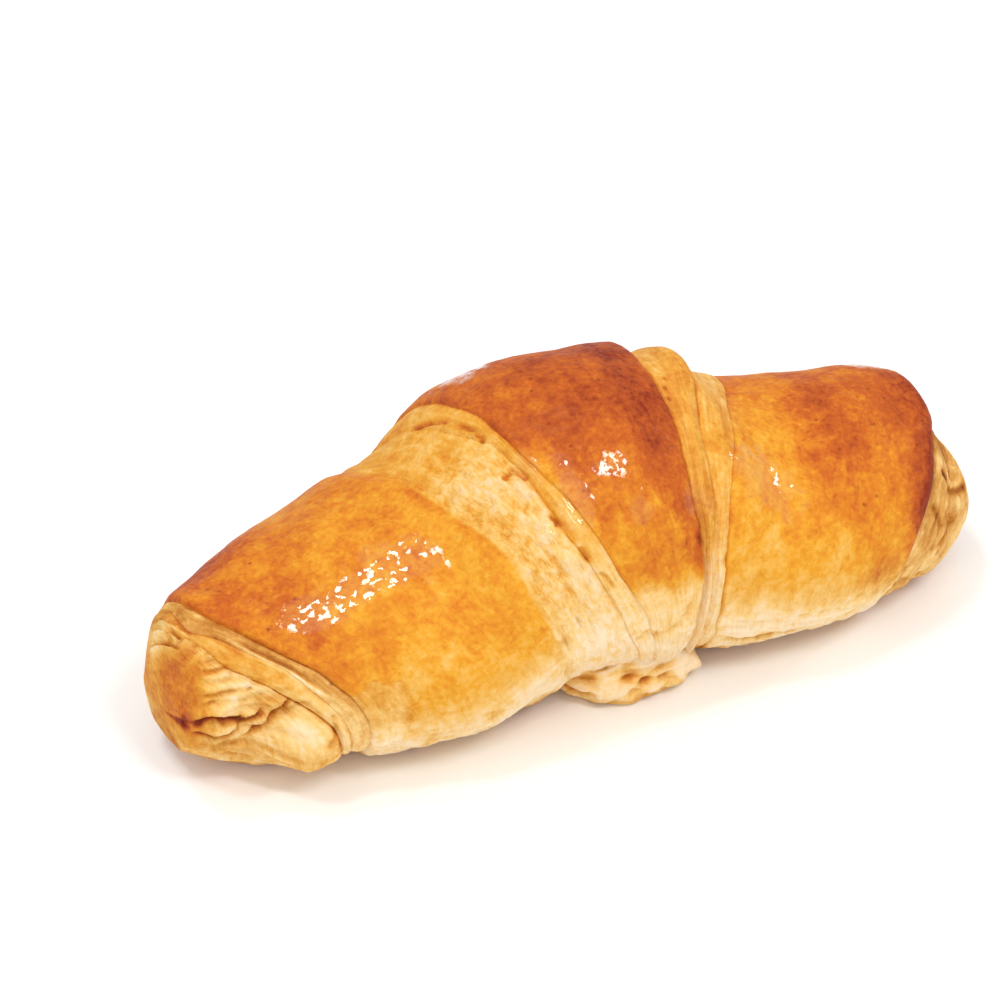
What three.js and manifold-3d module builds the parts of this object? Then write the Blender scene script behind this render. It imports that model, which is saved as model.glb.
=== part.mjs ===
// A ham crescent: a filled pastry rolled up from a long triangle of laminated dough, baked on a flat tray.
// It is one solid. Two shoulder wraps end in small rolled tips, and the last wrap of dough, the crown, is
// wound over the middle. Between them lie slanting bands where the layers of the cut dough show. The point
// of the triangle stands out as a squashed tongue at the front of the crown.
//
// Millimetres, +Z up. The pastry lies along X and rests on z = 0. Its tips bend a little towards -Y, which
// is the front. "along" is the distance along the bent spine from the middle, negative to the left. "turn"
// is the angle round the roll in degrees: 0 on top, 90 at the front, -90 at the back and 180 underneath.

import * as THREE from "three";
import { mergeVertices } from "three/addons/utils/BufferGeometryUtils.js";
import Module from "manifold-3d";

// ---------------------------------------------------------------------------------------------------------
// Overall form

const LENGTH = 160; // along the spine, tip to tip
const BEND = 16.3; // degrees that the spine turns over that length
const SINK = 0.14; // how far each round section settles into the tray, as a share of its half height
const SETTLE = 1.2; // the height over which the side rolls into the flat underside
const LEFT_LIFT = { starts: 64, rise: 6.8 }; // the tips stand off the tray
const RIGHT_LIFT = { starts: 62, rise: 6 };

// The half height and half width of the roll at places along the spine: [along, half height, half width].
const SECTIONS = [
  [-80, 7, 7.6],
  [-76.8, 12.9, 11.4],
  [-70.4, 15.9, 14.8],
  [-60.8, 17, 21.2],
  [-48, 18.4, 26.8],
  [-32, 21, 30.2],
  [-16, 28.2, 30.4],
  [0, 29.8, 29.6],
  [12.8, 28.8, 29.2],
  [22.4, 26.9, 29.4],
  [32, 23, 29.4],
  [44.8, 21.2, 27.8],
  [57.6, 20.7, 24],
  [67.2, 19.6, 19.2],
  [73.6, 12.4, 12.2],
  [76.8, 9.6, 8.8],
  [80, 5, 4.8],
];

// ---------------------------------------------------------------------------------------------------------
// Dough edges and the zones between them

// Each edge winds round the roll through its stations [turn, along]. "over" is the side that lies on top,
// "crease" is how deep the groove at its foot is, and "round" how wide its lip rolls over.
const EDGES = [
  {
    over: "right", crease: 0.9, round: 1.0,
    line: [[-130, -78.2], [-20, -77.2], [46, -72], [62, -65.5], [94, -56.4], [130, -56]],
  },
  {
    over: "right", crease: 0.5, round: 0.9,
    line: [[-130, -76.4], [10, -74.8], [33, -69.4], [53, -61.8], [80, -56.4], [130, -53.6]],
  },
  {
    over: "right", crease: 0.7, round: 1.0,
    line: [[-130, -74.4], [-40, -73.6], [10, -70.8], [36, -63.4], [60, -56.8], [90, -52], [130, -50.5]],
  },
  {
    over: "left", crease: 0.3, round: 3.0,
    line: [[-130, -46], [-17, -32], [24, -26.4], [58, -21.8], [100, -15.5], [130, -10.5]],
  },
  {
    over: "right", crease: 0.8, round: 1.0,
    line: [[-130, -35.5], [-21, -22.8], [16, -17.6], [44, -13.2], [70, -8.2], [92, -2.8], [130, 4]],
  },
  {
    over: "right", crease: 0.3, round: 0.8,
    line: [[-130, -31.5], [-40, -20.7], [0, -17.6], [50, -8.6], [92, 0.6], [130, 7]],
  },
  {
    over: "left", crease: 0.9, round: 1.8,
    line: [[-130, 18], [-34, 14.6], [-10, 15], [15, 14.5], [50, 12.9], [92, 12.2], [130, 12]],
  },
  {
    over: "left", crease: 1.0, round: 1.4,
    line: [[-130, 34], [-8, 24.1], [22, 19.3], [56, 16.3], [90, 14.2], [130, 14.6]],
  },
  {
    over: "left", crease: 0.6, round: 0.9,
    line: [[-130, 46], [-17, 33], [19, 26.2], [57, 20.4], [90, 17], [130, 17.6]],
  },
  {
    over: "left", crease: 0.9, round: 1.8,
    line: [[-130, 75.2], [0, 71.4], [30, 68.6], [52, 66], [78, 60.6], [110, 55.4], [130, 54]],
  },
  {
    over: "left", crease: 0.6, round: 1.0,
    line: [[-130, 77.6], [0, 75.4], [40, 73], [70, 68.6], [100, 63.6], [130, 62]],
  },
];
const CROWN_LEFT = 5; // the places of the crown's own two edges in that list
const CROWN_RIGHT = 6;

// The zones from left to right: how far the surface stands out at the zone's left and right side, the
// bulge between them, the number of rows of points between its edges, and the depth of the flakes, which
// are low ridges along the band, one to every other row.
const ZONES = [
  { name: "left tip", left: 0, right: -1.2, bulge: 0.6, rows: 6 },
  { name: "left tip strip", left: -0.7, right: -0.7, bulge: 0.4, rows: 1 },
  { name: "left hem", left: -0.6, right: -0.5, bulge: 0.2, rows: 1 },
  { name: "left shoulder", left: 0.4, right: 0.6, bulge: 0.4, rows: 7 },
  { name: "left flaky band", left: -0.9, right: -0.9, bulge: 0.1, rows: 5, flakes: 0.45 },
  { name: "crown hem", left: -0.1, right: 0, bulge: 0.3, rows: 1 },
  { name: "crown", left: 0.6, right: 0.3, bulge: 0.4, rows: 6 },
  { name: "inner right band", left: -0.7, right: 0.3, bulge: 0.5, rows: 1 },
  { name: "outer right band", left: -1, right: -0.8, bulge: 0.3, rows: 2 },
  { name: "right shoulder", left: -0.9, right: 0.5, bulge: 0.5, rows: 8 },
  { name: "right hem", left: -1, right: -0.6, bulge: 0.3, rows: 1 },
  { name: "right tip", left: -1.2, right: 0, bulge: 1, rows: 4 },
];

const SEAM = 130; // beyond this turn an edge is under the pastry and goes back to its start
const EDGE_GAP = 1.7; // edges keep at least this far apart
const CROWN_GAP = 5; // and the crown's own two edges this far
const UNEVEN = 0.45; // how far an edge wavers
const UNDERCUT = 0.35; // how far a groove reaches in under its lip
const FOOT = 1.2; // from an edge to where the lower surface is level again
const NARROW = 0.35; // the share of a narrow zone that one lip may take

// The waves in an edge: how high, how many round the roll, and how far each next edge is out of step.
const EDGE_WAVES = [
  { height: 1, count: 3, shift: 1.7 },
  { height: 0.6, count: 7, shift: 2.9 },
];

// The slow swellings of a proved dough surface: how high, how long, how many round the roll, and where they
// start.
const SWELLINGS = [
  { height: 0.4, length: 7.3, count: 2, start: 0.4 },
  { height: 0.25, length: 3.9, count: -3, start: 2.1 },
  { height: 0.15, length: 2.7, count: 5, start: 0.7 },
];
const LEVEL_FADE = 8; // over this length at each tip the zones come to one level

// Steps round the roll: fine at the front, where the edges lie close together, and coarse underneath.
const STEPS = [
  { from: -130, to: -20, count: 20 },
  { from: -20, to: 130, count: 38 },
  { from: 130, to: 230, count: 6 },
];

// The tongue at the front of the crown: its middle, its half sizes and how far it is skewed.
const TONGUE = { along: 3.2, front: 13.8, up: 4.4, half: [14.6, 12, 7], skew: 11 };

// Puffed spots: the place of each, how far it reaches along and round the roll, and how high it stands.
const PUFFS = [
  { along: -62, turn: 104, reach: [9, 30], height: 4.2 }, // the pocket under the left hem
  { along: -77, turn: 70, reach: [9, 60], height: 2.2 }, // the browned nose of the left tip
  { along: -16, turn: 122, reach: [22, 26], height: -1.6 }, // the left shoulder tucks in beside the tongue
  { along: 76, turn: 60, reach: [5, 40], height: 1 }, // the knob of the right tip
  { along: -46, turn: 92, reach: [6, 12], height: -0.7 }, // a dent in the left shoulder
  { along: 22.5, turn: -8, reach: [4.5, 24], height: 1.2 }, // the inner right band is full on top
  { along: 18, turn: -30, reach: [4.5, 40], height: -1.4 }, // and sinks beside the crown
];

// The pleats that run along the front of the left tip: how many degrees apart and how deep they are.
const PLEATS = { from: 62, to: 128, spacing: 13, depth: 0.9, left: -79, right: -58 };

const DEGREE = Math.PI / 180;
const SPINE_RADIUS = LENGTH / (BEND * DEGREE);

// ---------------------------------------------------------------------------------------------------------
// Shared functions

// A smooth curve through [position, value, value...] stations that doesn't overshoot them.
function through(stations, position) {
  const last = stations.length - 1;
  const at = THREE.MathUtils.clamp(position, stations[0][0], stations[last][0]);
  let i = 0;
  while (i < last - 1 && at > stations[i + 1][0]) i += 1;
  const slope = (k, value) => {
    const [from, to] = [stations[k], stations[k + 1]];
    return (to[value] - from[value]) / (to[0] - from[0]);
  };
  const tangent = (k, value) => {
    if (k === 0) return slope(0, value);
    if (k === last) return slope(last - 1, value);
    const [before, after] = [slope(k - 1, value), slope(k, value)];
    return before * after > 0 ? (2 * before * after) / (before + after) : 0;
  };
  const span = stations[i + 1][0] - stations[i][0];
  const t = (at - stations[i][0]) / span;
  const [t2, t3] = [t * t, t * t * t];
  return stations[i].slice(1).map((from, k) => {
    const to = stations[i + 1][k + 1];
    return (2 * t3 - 3 * t2 + 1) * from + (t3 - 2 * t2 + t) * span * tangent(i, k + 1)
      + (3 * t2 - 2 * t3) * to + (t3 - t2) * span * tangent(i + 1, k + 1);
  });
}

// Rises smoothly from 0 to 1 as the value goes from one limit to the other.
function ramp(from, to, value) {
  return THREE.MathUtils.smoothstep(value, from, to);
}

// The turn as an edge follows it. Underneath, the edge comes back from the front seam to the back seam.
function windingTurn(turn) {
  if (turn <= SEAM) return turn;
  return SEAM - 2 * SEAM * ramp(SEAM, 360 - SEAM, turn);
}

// Where every edge lies at a turn, from left to right.
function edgePositions(turn) {
  const upright = Math.abs(turn > 180 ? turn - 360 : turn);
  const uneven = UNEVEN * (1 - ramp(SEAM - 20, SEAM, upright)); // an edge meets itself under the pastry
  const along = EDGES.map((edge, k) => {
    const even = through(edge.line, windingTurn(turn))[0];
    const waver = EDGE_WAVES.reduce((sum, { height, count, shift }) =>
      sum + height * Math.sin(count * turn * DEGREE + shift * k), 0);
    return even + uneven * waver * ramp(2, 16, LENGTH / 2 - Math.abs(even)); // straighter near the tips
  });
  along[CROWN_RIGHT] = Math.max(along[CROWN_RIGHT], along[CROWN_LEFT] + CROWN_GAP);
  for (let k = CROWN_RIGHT + 1; k < along.length; k += 1) {
    along[k] = Math.max(along[k], along[k - 1] + EDGE_GAP);
  }
  for (let k = CROWN_LEFT - 1; k >= 0; k -= 1) {
    along[k] = Math.min(along[k], along[k + 1] - EDGE_GAP);
  }
  return along;
}

function swelling(along, turn) {
  return SWELLINGS.reduce((sum, { height, length, count, start }) =>
    sum + height * Math.sin(along / length + count * turn * DEGREE + start), 0);
}

function puffs(along, turn) {
  return PUFFS.reduce((sum, puff) => {
    const far = ((along - puff.along) / puff.reach[0]) ** 2 + ((turn - puff.turn) / puff.reach[1]) ** 2;
    return sum + (far < 1 ? puff.height * (1 - far) ** 2 : 0);
  }, 0);
}

function pleats(along, turn) {
  const { from, to, spacing, depth, left, right } = PLEATS;
  const within = ramp(from, from + 8, turn) * (1 - ramp(to - 8, to, turn))
    * ramp(left, left + 4, along) * (1 - ramp(right - 10, right, along));
  const across = (turn + 0.5 * (along + 70) + 3 * Math.sin(along / 3)) / spacing;
  return -depth * within * Math.cos(Math.PI * across) ** 4;
}

function relief(along, turn) {
  return swelling(along, turn) + puffs(along, turn) + pleats(along, turn);
}

// A height rolled off into the flat underside.
function settled(z) {
  if (z >= SETTLE) return z;
  if (z <= -SETTLE) return 0;
  return (z + SETTLE) ** 2 / (4 * SETTLE);
}

// How far a tip stands off the tray.
function lift(along) {
  const { starts, rise } = along < 0 ? LEFT_LIFT : RIGHT_LIFT;
  return rise * ramp(starts, LENGTH / 2 + 6, Math.abs(along));
}

// A point from its place on the spine, its distance to the back and its height.
function spinePoint(along, back, z) {
  const a = along / SPINE_RADIUS;
  return [(SPINE_RADIUS + back) * Math.sin(a), (SPINE_RADIUS + back) * Math.cos(a) - SPINE_RADIUS, z];
}

// A point of the roll: out is how far it stands out from the plain section.
function rollPoint(along, turn, out) {
  const [halfHeight, halfWidth] = through(SECTIONS, along);
  const back = -(halfWidth + out) * Math.sin(turn * DEGREE);
  const z = halfHeight * (1 - SINK) + (halfHeight + out) * Math.cos(turn * DEGREE);
  return spinePoint(along, back, settled(z) + lift(along));
}

// Closes rings of points with a pole at each end.
function closedFromRings(firstPole, rings, lastPole) {
  const around = rings[0].length;
  const positions = [firstPole, ...rings.flat(), lastPole].flat();
  const end = 1 + rings.length * around;
  const index = [];
  const vertex = (ring, step) => 1 + ring * around + (step % around);
  for (let j = 0; j < around; j += 1) {
    index.push(0, vertex(0, j + 1), vertex(0, j));
    for (let i = 0; i < rings.length - 1; i += 1) {
      const [a, b] = [vertex(i, j), vertex(i, j + 1)];
      const [c, d] = [vertex(i + 1, j), vertex(i + 1, j + 1)];
      index.push(a, b, c, b, d, c);
    }
    index.push(end, vertex(rings.length - 1, j), vertex(rings.length - 1, j + 1));
  }
  const geometry = new THREE.BufferGeometry();
  geometry.setAttribute("position", new THREE.Float32BufferAttribute(positions, 3));
  geometry.setIndex(index);
  return geometry;
}

// ---------------------------------------------------------------------------------------------------------
// The roll

// The rows of points between a zone's edges.
function zoneRows(k) {
  const { left, right, bulge, rows, flakes = 0 } = ZONES[k];
  return Array.from({ length: rows }, (_, i) => {
    const share = (i + 1) / (rows + 1);
    const level = left + (right - left) * share + 4 * bulge * share * (1 - share) + flakes * (i % 2);
    return { zone: k, share, into: k, extra: 0, level };
  });
}

// The four rows of points over the lip of an edge, from left to right. "into" is the zone a row leans into.
function lipRows(k) {
  const { over, crease, round } = EDGES[k];
  const [leftLevel, rightLevel] = [ZONES[k].right, ZONES[k + 1].left];
  const [high, low, inwards] = over === "right" ? [rightLevel, leftLevel, 1] : [leftLevel, rightLevel, -1];
  const bottom = low - crease;
  const rows = [
    { extra: -inwards * FOOT, level: low },
    { extra: inwards * UNDERCUT, level: bottom },
    { extra: inwards * 0.1 * round, level: high - 0.4 * (high - bottom) },
    { extra: inwards * round, level: high },
  ].map((row) => ({ zone: k, share: 1, into: row.extra > 0 ? k + 1 : k, ...row }));
  return over === "right" ? rows : rows.reverse();
}

function rollGeometry() {
  const turns = STEPS.flatMap(({ from, to, count }) =>
    Array.from({ length: count }, (_, j) => from + ((to - from) * j) / count),
  );
  const bounds = turns.map((turn) => [-LENGTH / 2, ...edgePositions(turn), LENGTH / 2]);
  const rows = ZONES.flatMap((_, k) => (k < EDGES.length ? [...zoneRows(k), ...lipRows(k)] : zoneRows(k)));
  const rings = rows.map(({ zone, share, into, extra, level }) =>
    turns.map((turn, j) => {
      const [left, right] = [bounds[j][zone], bounds[j][zone + 1]];
      const room = NARROW * (bounds[j][into + 1] - bounds[j][into]);
      const along = left + (right - left) * share + THREE.MathUtils.clamp(extra, -room, room);
      const fromEnd = LENGTH / 2 - Math.abs(along);
      return rollPoint(along, turn, level * ramp(0, LEVEL_FADE, fromEnd) + relief(along, turn));
    }),
  );
  const pole = (side) => rollPoint(side * (LENGTH / 2), 90, -through(SECTIONS, side * LENGTH)[1]);
  return closedFromRings(pole(-1), rings, pole(1));
}

// A squashed, lumpy lobe of dough that rests on the tray.
function lobeGeometry({ along, front, up, half, skew }, rows = 12, around = 22) {
  const point = (polar, turn) => {
    const lump = 1 + 0.06 * Math.sin(3 * turn + 1) + 0.05 * Math.sin(2 * polar + 2 * turn);
    const x = -half[0] * Math.cos(polar);
    const y = -half[1] * Math.sin(polar) * Math.sin(turn) * lump;
    const z = half[2] * Math.sin(polar) * Math.cos(turn) * lump;
    const s = skew * DEGREE;
    return spinePoint(along + x * Math.cos(s) - y * Math.sin(s), x * Math.sin(s) + y * Math.cos(s) - front,
      settled(up + z));
  };
  const rings = Array.from({ length: rows - 1 }, (_, i) =>
    Array.from({ length: around }, (__, j) => point((Math.PI * (i + 1)) / rows, (2 * Math.PI * j) / around)),
  );
  return closedFromRings(point(0, 0), rings, point(Math.PI, 0));
}

const wasm = await Module();
wasm.setup();

function solidOf(geometry) {
  const merged = mergeVertices(geometry, 1e-4);
  return new wasm.Manifold(new wasm.Mesh({
    numProp: 3,
    vertProperties: merged.attributes.position.array,
    triVerts: new Uint32Array(merged.index.array),
  }));
}

function geometryOf(solid) {
  const mesh = solid.getMesh();
  const geometry = new THREE.BufferGeometry();
  geometry.setAttribute("position", new THREE.BufferAttribute(mesh.vertProperties, 3));
  geometry.setIndex(new THREE.BufferAttribute(mesh.triVerts, 1));
  geometry.computeVertexNormals();
  return geometry;
}

// ---------------------------------------------------------------------------------------------------------
// The pastry

const crust = new THREE.MeshStandardMaterial({ color: 0xe09a3c, roughness: 0.42, metalness: 0 });
const whole = geometryOf(solidOf(rollGeometry()).add(solidOf(lobeGeometry(TONGUE))));
whole.computeBoundingBox();
const middle = whole.boundingBox.getCenter(new THREE.Vector3());
whole.translate(-middle.x, -middle.y, -whole.boundingBox.min.z);

const pastry = new THREE.Mesh(whole, crust);
pastry.name = "pastry";

const part = new THREE.Group();
part.add(pastry);

export default part;
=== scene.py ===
"""A ham crescent: the looks of the baked pastry, built over its CAD solid.

The dough is one fine mesh with the form of the solid: a roll whose points lie on rows between the slanting
edges of the wraps, so that every lip and crease is crisp. "along" is the distance along the bent spine
from the middle and "turn" the angle round the roll in degrees: 0 on top, 90 at the front, -90 at the back.
Lengths are in millimetres until a mesh is made, and in metres from then on.
"""
import math

import bpy
import numpy as np
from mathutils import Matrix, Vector


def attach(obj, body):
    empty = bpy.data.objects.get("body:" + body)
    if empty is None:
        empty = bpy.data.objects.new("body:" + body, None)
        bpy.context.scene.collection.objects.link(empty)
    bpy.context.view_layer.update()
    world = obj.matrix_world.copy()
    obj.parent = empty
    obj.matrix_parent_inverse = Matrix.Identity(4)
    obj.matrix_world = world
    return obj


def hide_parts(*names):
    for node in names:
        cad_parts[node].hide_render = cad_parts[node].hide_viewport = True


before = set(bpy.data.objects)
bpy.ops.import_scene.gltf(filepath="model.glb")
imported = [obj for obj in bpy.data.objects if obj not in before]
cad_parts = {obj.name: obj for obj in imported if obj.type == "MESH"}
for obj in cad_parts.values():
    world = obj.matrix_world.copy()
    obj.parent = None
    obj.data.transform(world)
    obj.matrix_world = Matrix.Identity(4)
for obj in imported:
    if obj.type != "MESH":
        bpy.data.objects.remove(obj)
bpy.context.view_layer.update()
MM = 0.001

# ---- Form of the roll, as in the solid

LENGTH = 160.0  # along the spine, tip to tip
BEND = 16.3  # degrees that the spine turns over that length
SINK = 0.14  # how far each round section settles into the tray, as a share of its half height
SETTLE = 1.2  # the height over which the side rolls into the flat underside
LEFT_LIFT = (64.0, 6.8)  # where a tip begins to stand off the tray, and how far it rises
RIGHT_LIFT = (62.0, 6.0)
CENTRE = (-0.24, -0.226)  # the middle of the solid's box, before it was centred
SPINE_RADIUS = LENGTH / math.radians(BEND)

# The half height and half width of the roll at places along the spine: (along, half height, half width).
SECTIONS = [
    (-80, 7, 7.6), (-76.8, 12.9, 11.4), (-70.4, 15.9, 14.8), (-60.8, 17, 21.2), (-48, 18.4, 26.8),
    (-32, 21, 30.2), (-16, 28.2, 30.4), (0, 29.8, 29.6), (12.8, 28.8, 29.2), (22.4, 26.9, 29.4),
    (32, 23, 29.4), (44.8, 21.2, 27.8), (57.6, 20.7, 24), (67.2, 19.6, 19.2), (73.6, 12.4, 12.2),
    (76.8, 9.6, 8.8), (80, 5, 4.8),
]

# Each edge: the side that lies on top, how deep the groove at its foot is, how wide its lip rolls over, and
# its stations (turn, along).
EDGES = [
    ("right", 0.9, 1, [(-130, -78.2), (-20, -77.2), (46, -72), (62, -65.5), (94, -56.4), (130, -56)]),
    ("right", 0.5, 0.9, [(-130, -76.4), (10, -74.8), (33, -69.4), (53, -61.8), (80, -56.4), (130, -53.6)]),
    ("right", 0.7, 1, [(-130, -74.4), (-40, -73.6), (10, -70.8), (36, -63.4), (60, -56.8), (90, -52),
        (130, -50.5)]),
    ("left", 0, 3, [(-130, -46), (-17, -32), (24, -26.4), (58, -21.8), (100, -15.5), (130, -10.5)]),
    ("right", 0.8, 1, [(-130, -35.5), (-21, -22.8), (16, -17.6), (44, -13.2), (70, -8.2), (92, -2.8),
        (130, 4)]),
    ("right", 0.3, 0.8, [(-130, -31.5), (-40, -20.7), (0, -17.6), (50, -8.6), (92, 0.6), (130, 7)]),
    ("left", 0.9, 1.8, [(-130, 18), (-34, 14.6), (-10, 15), (15, 14.5), (50, 12.9), (92, 12.2), (130, 12)]),
    ("left", 1, 1.4, [(-130, 34), (-8, 24.1), (22, 19.3), (56, 16.3), (90, 14.2), (130, 14.6)]),
    ("left", 0.6, 0.9, [(-130, 46), (-17, 33), (19, 26.2), (57, 20.4), (90, 17), (130, 17.6)]),
    ("left", 0.9, 1.8, [(-130, 75.2), (0, 71.4), (30, 68.6), (52, 66), (78, 60.6), (110, 55.4), (130, 54)]),
    ("left", 0.6, 1, [(-130, 77.6), (0, 75.4), (40, 73), (70, 68.6), (100, 63.6), (130, 62)]),
]
SOFT_EDGE = 3  # the left shoulder slopes into the torn band without a lip
CREASE_SHADE_REACH = 0.42  # how far from an edge its painted line of crease shade reaches

# How much of its groove each edge keeps at a turn: (turn, share).
GROOVE_KEPT = [
    [(-130, 0.8), (10, 0.3), (45, 0.2), (66, 0.7), (90, 1.2), (130, 1)],
    [(-130, 0.6), (20, 0.5), (60, 0.3), (90, 0.7), (130, 1)],
    [(-130, 0.8), (0, 0.6), (70, 0.5), (100, 0.3), (130, 0.4)],
    [(-130, 0), (130, 0)],
    [(-130, 0.6), (-10, 0.3), (8, 0.3), (22, 0.6), (55, 0.5), (68, 0.3), (100, 0.2), (130, 0.4)],
    [(-130, 0.7), (20, 0.6), (45, 0.4), (60, 0.1), (90, 0), (130, 0.2)],
    [(-130, 0.7), (60, 0.6), (80, 0.5), (105, 0.3), (130, 0.4)],
    [(-130, 0.6), (20, 0.5), (60, 0.3), (85, 0.25), (130, 0.4)],
    [(-130, 0.5), (0, 0.3), (60, 0.5), (90, 0.7), (130, 0.8)],
    [(-130, 0.8), (130, 0.8)],
    [(-130, 0.6), (130, 0.6)],
]
CROWN_LEFT = 5  # the places of the crown's own two edges in that list
CROWN_RIGHT = 6

# The zones from left to right: how far the surface stands out at the left and the right side, and the bulge.
LEFT_TIP, TIP_STRIP, LEFT_HEM, LEFT_SHOULDER, LEFT_BAND, CROWN_HEM = range(6)
CROWN, INNER_BAND, OUTER_BAND, RIGHT_SHOULDER, RIGHT_HEM, RIGHT_TIP = range(6, 12)
SKIN = (LEFT_SHOULDER, CROWN, RIGHT_SHOULDER)
ZONES = [
    (0, -1.2, 0.6), (-0.7, -0.7, 0.4), (-0.6, -0.5, 0.2), (0.4, 0.6, 0.4), (-0.7, -0.7, 0.1),
    (-0.1, 0, 0.3), (0.6, 0.3, 0.4), (-0.7, 0.3, 0.5), (-1, -0.8, 0.3), (-0.9, 0.5, 0.5), (-1, -0.6, 0.3),
    (-1.2, 0, 1),
]

SEAM = 130.0  # beyond this turn an edge is under the pastry and goes back to its start
EDGE_GAP = 1.7  # the least distance between two edges
CROWN_GAP = 5.0  # and between the crown's own two
UNEVEN = 0.45  # how far an edge wavers, and how far with its finer wavering
FINE_UNEVEN = 0.16
SEAM_FADE = 20  # an edge grows even over this turn before it goes underneath
TIP_FADE = (2, 16)  # and over these distances from the ends
UNDERCUT = 0.02  # how far a groove reaches in under its lip
FOOT = 1.2  # from an edge to where the lower surface is level again
NARROW = 0.35  # the share of a narrow zone that one lip may take
WIDTH_RANK = 0.75  # a zone's rows are spaced for a width that it has or exceeds over a quarter of the turns

# Puffed spots: along, turn, how far each reaches along and round the roll, and how high it stands.
PUFFS = [
    (-62, 104, 9, 30, 4.2), (-77, 70, 9, 60, 2.2), (-16, 122, 22, 26, -1.6), (76, 60, 5, 40, 1),
    (-46, 92, 6, 12, -0.7), (22.5, -8, 4.5, 24, 1.2), (18, -30, 4.5, 40, -1.4),
]
# Pleats of the left tip: between which turns and places they lie, over how far they fade there, their shape.
PLEATS = {"from": 62, "to": 128, "fade": 8, "left": -79, "left_fade": 4, "right": -58, "right_fade": 10,
          "spacing": 13, "depth": 0.9, "slant": 0.5, "waver": 3}
# The slow swelling of a proved dough surface: height, length, waves round the roll and phase.
SWELLS = [(0.4, 7.3, 2, 0.4), (0.25, 3.9, -3, 2.1), (0.15, 2.7, 5, 0.7)]

# The grain of the dough: how wide one unit of it is across skin and across bare dough, and the units to a
# radian round the roll.
GRAIN_SKIN, GRAIN_BARE, GRAIN_ROUND = 1.5, 0.9, 5.2

# Steps round the roll: from, to, count.
STEPS = [(-130, -20, 52), (-20, 130, 162), (130, 230, 20)]
# The space between rows of points in each zone.
ROW_SPACING = [0.42, 0.5, 0.5, 0.66, 0.46, 0.5, 0.6, 0.55, 0.5, 0.68, 0.5, 0.5]
TONGUE = {"along": 3.2, "front": 13.8, "up": 4.4, "half": (14.6, 12, 7), "skew": 11}


def smoothstep(low, high, value):
    t = np.clip((value - low) / (high - low), 0, 1)
    return t * t * (3 - 2 * t)


def through(stations, position):
    """A smooth curve through stations (position, value, value...) that doesn't overshoot them."""
    table = np.array(stations, dtype=float)
    at = np.clip(position, table[0, 0], table[-1, 0])
    span = np.diff(table[:, 0])
    curves = []
    for value in table[:, 1:].T:
        slope = np.diff(value) / span
        tangent = np.concatenate([[slope[0]], np.zeros(len(span) - 1), [slope[-1]]])
        same_way = slope[:-1] * slope[1:] > 0
        total = np.where(same_way, slope[:-1] + slope[1:], 1)
        tangent[1:-1] = np.where(same_way, 2 * slope[:-1] * slope[1:] / total, 0)
        i = np.clip(np.searchsorted(table[:, 0], at, side="right") - 1, 0, len(span) - 1)
        t = (at - table[i, 0]) / span[i]
        t2, t3 = t * t, t * t * t
        curves.append((2 * t3 - 3 * t2 + 1) * value[i] + (t3 - 2 * t2 + t) * span[i] * tangent[i]
                      + (3 * t2 - 2 * t3) * value[i + 1] + (t3 - t2) * span[i] * tangent[i + 1])
    return curves


def lattice(x, y, z, seed):
    """A repeatable random value from -1 to 1 at each whole-number point."""
    n = (x * 73856093) ^ (y * 19349663) ^ (z * 83492791) ^ (seed * 2654435761)
    n = (n ^ (n >> 13)) * 1274126177 & 0xFFFFFFFF
    n = (n ^ (n >> 16)) & 0xFFFF
    return n / 32767.5 - 1


def noise(x, y, z, seed):
    """Smooth noise from -1 to 1 with features one unit apart."""
    x, y, z = np.broadcast_arrays(x, y, z)
    base = [np.floor(v).astype(np.int64) for v in (x, y, z)]
    part = [v - b for v, b in zip((x, y, z), base)]
    ease = [p * p * (3 - 2 * p) for p in part]
    total = 0
    for corner in range(8):
        bits = [(corner >> k) & 1 for k in range(3)]
        weight = 1
        for k in range(3):
            weight = weight * (ease[k] if bits[k] else 1 - ease[k])
        total = total + weight * lattice(*[base[k] + bits[k] for k in range(3)], seed)
    return total


def lumpy(place, size, seed):
    """Noise with lumps of that size at places in space."""
    return noise(*np.moveaxis(place / size, -1, 0), seed)


def signed_turn(turn):
    return np.where(turn > 180, turn - 360, turn)


def winding_turn(turn):
    """The turn as an edge follows it: underneath, it comes back from the front seam to the back seam."""
    return np.where(turn <= SEAM, turn, SEAM - 2 * SEAM * smoothstep(SEAM, 360 - SEAM, turn))


def edge_positions(turn):
    """Where every edge lies at each turn, from left to right."""
    uneven = 1 - smoothstep(SEAM - SEAM_FADE, SEAM, np.abs(signed_turn(turn)))
    angle = np.radians(turn)
    along = []
    for k, (_, _, _, line) in enumerate(EDGES):
        even = through(line, winding_turn(turn))[0]
        waver = UNEVEN * (np.sin(3 * angle + 1.7 * k) + 0.6 * np.sin(7 * angle + 2.9 * k))
        fine = FINE_UNEVEN * (noise(turn / 9, k, 0, 3) + 0.5 * noise(turn / 4.5, k, 0, 4))
        along.append(even + uneven * (waver + fine) * smoothstep(*TIP_FADE, LENGTH / 2 - np.abs(even)))
    along[CROWN_RIGHT] = np.maximum(along[CROWN_RIGHT], along[CROWN_LEFT] + CROWN_GAP)
    for k in range(CROWN_RIGHT + 1, len(along)):
        along[k] = np.maximum(along[k], along[k - 1] + EDGE_GAP)
    for k in range(CROWN_LEFT - 1, -1, -1):
        along[k] = np.minimum(along[k], along[k + 1] - EDGE_GAP)
    return np.array(along)


def swelling(along, turn):
    angle = np.radians(turn)
    return sum(height * np.sin(along / length + waves * angle + phase)
               for height, length, waves, phase in SWELLS)


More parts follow.
